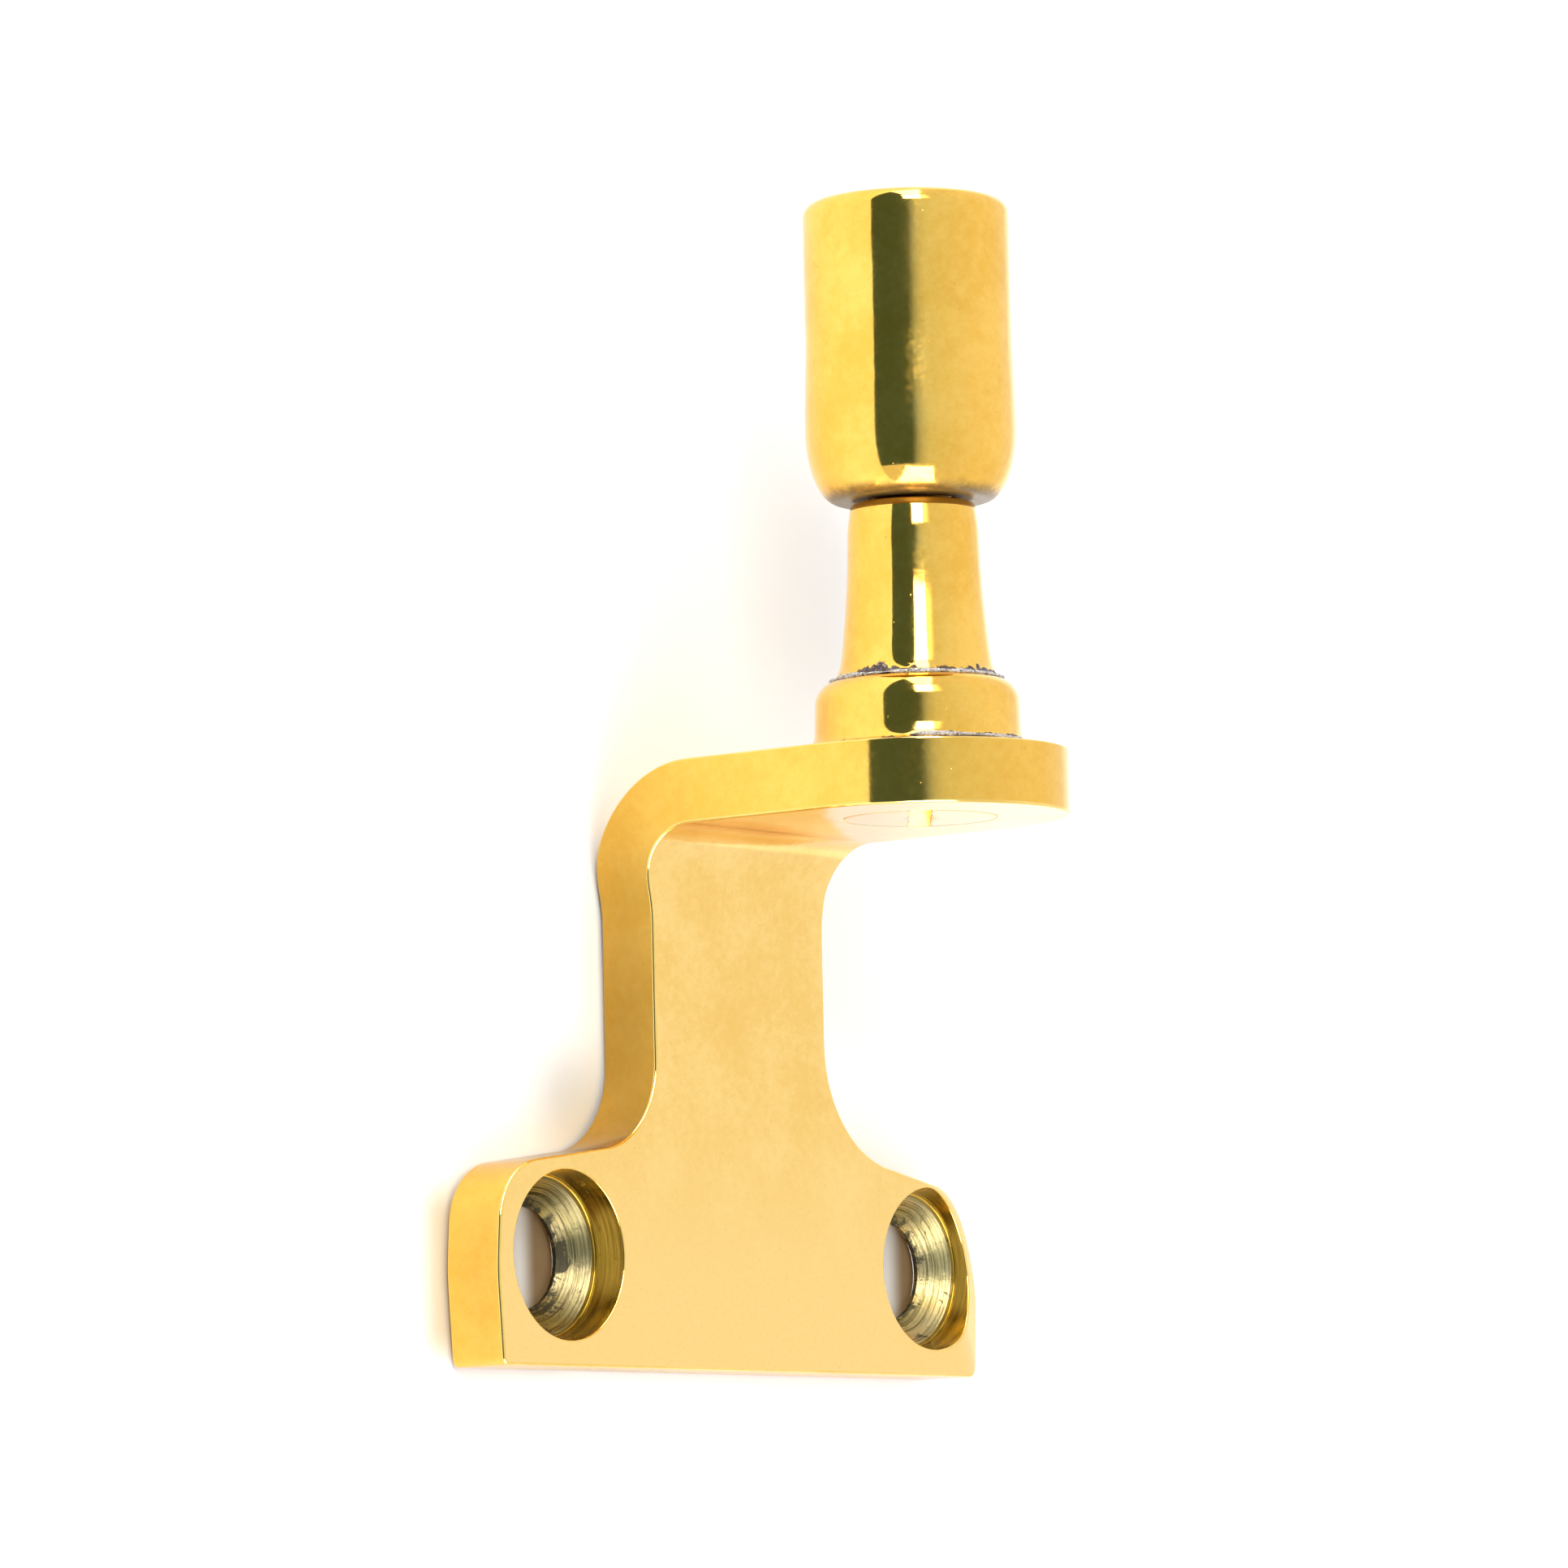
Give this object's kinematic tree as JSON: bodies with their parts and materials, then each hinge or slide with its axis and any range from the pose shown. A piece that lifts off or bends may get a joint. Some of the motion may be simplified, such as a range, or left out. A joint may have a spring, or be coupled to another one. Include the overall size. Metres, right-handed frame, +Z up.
{
  "type": "casement stay pin bracket",
  "caption": "T-footed angle bracket with an upright pin, collar, tapered spindle and a screw-down cap, for holding the arm of a casement window stay.",
  "frame": {"origin": "on the back face, level with the left fixing hole, in the plane of the pin", "axes": "+X along the foot to the right seen from the front, +Y out of the back face towards what it is screwed to, +Z up the pin"},
  "size_m": [0.0461, 0.026, 0.067],
  "materials": {
    "bracket_brass": "hand polished",
    "collar_brass": "hand polished",
    "spindle_brass": "hand polished",
    "screw_brass": "filed and polished head",
    "stud_brass": "as cut thread, dull",
    "cap_brass": "hand polished"
  },
  "bodies": {
    "base": {"bracket": "bracket_brass", "collar": "collar_brass", "spindle": "spindle_brass", "post_screw": "screw_brass"},
    "turning_stud": {"cap_stud": "stud_brass"},
    "cap": {"cap": "cap_brass"}
  },
  "joints": [
    {"name": "cap_turn", "type": "hinge", "parent": "base", "child": "turning_stud", "pos_m": [0, -0.01739, 0.04302], "axis": [0, 0, 1], "range_deg": [-67.5, 3600]},
    {"name": "cap_rise", "type": "slide", "parent": "turning_stud", "child": "cap", "axis": [0, 0, 1], "range_m": [-0.00016, 0.00801]}
  ],
  "couplings": [
    {"joint": "cap_rise", "follows": "cap_turn", "m_per_rad": 0.00012732}
  ]
}
